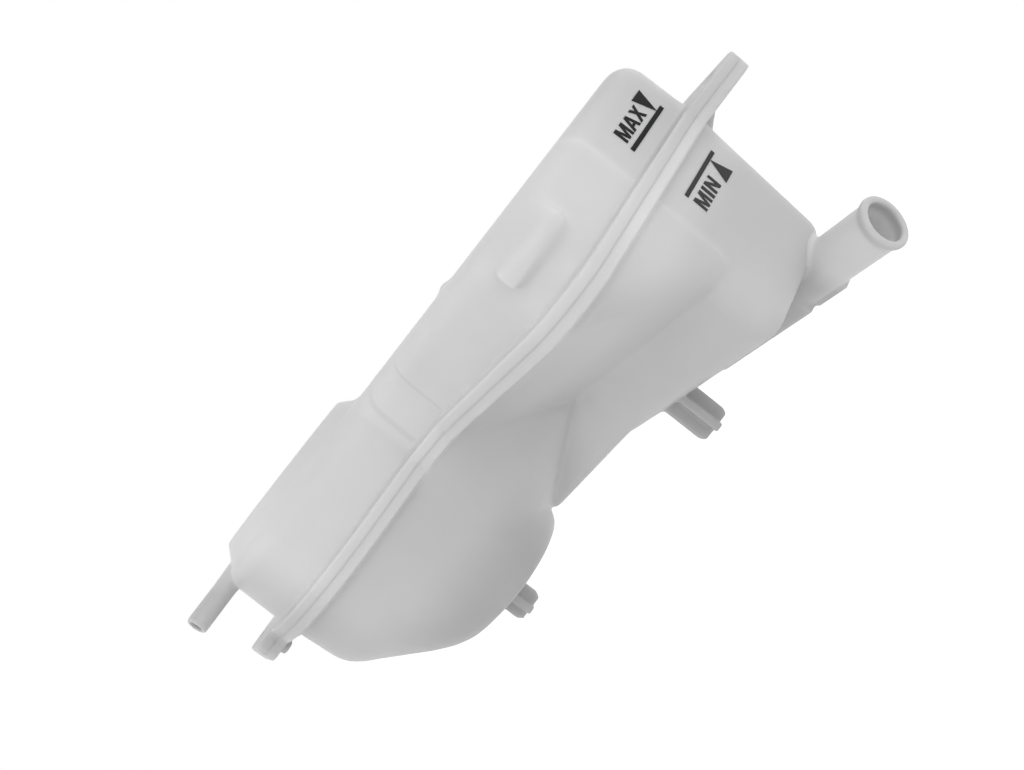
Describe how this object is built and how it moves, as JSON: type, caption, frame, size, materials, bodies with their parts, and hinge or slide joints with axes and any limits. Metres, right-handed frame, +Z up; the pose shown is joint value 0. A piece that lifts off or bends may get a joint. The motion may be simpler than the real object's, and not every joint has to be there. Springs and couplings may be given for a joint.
{
  "type": "water reservoir",
  "caption": "Translucent moulded coolant expansion tank for a car: deep sump, sloping floor, round end with an open filler neck, weld flange with mounting ears, hose spigots and locating pegs.",
  "frame": {"origin": "axis of the bolt hole in the right mounting ear, at the weld plane between the two half shells", "axes": "+Z up as fitted in the car, +X along the face with the level marks towards the right ear, +Y from that face into the tank towards the filler"},
  "size_m": [0.225, 0.2499, 0.1325],
  "materials": {
    "upper_plastic": "milky translucent polypropylene, satin",
    "lower_plastic": "milky translucent polypropylene, satin"
  },
  "bodies": {
    "root": {"upper_shell": "upper_plastic", "lower_shell": "lower_plastic"}
  },
  "joints": []
}
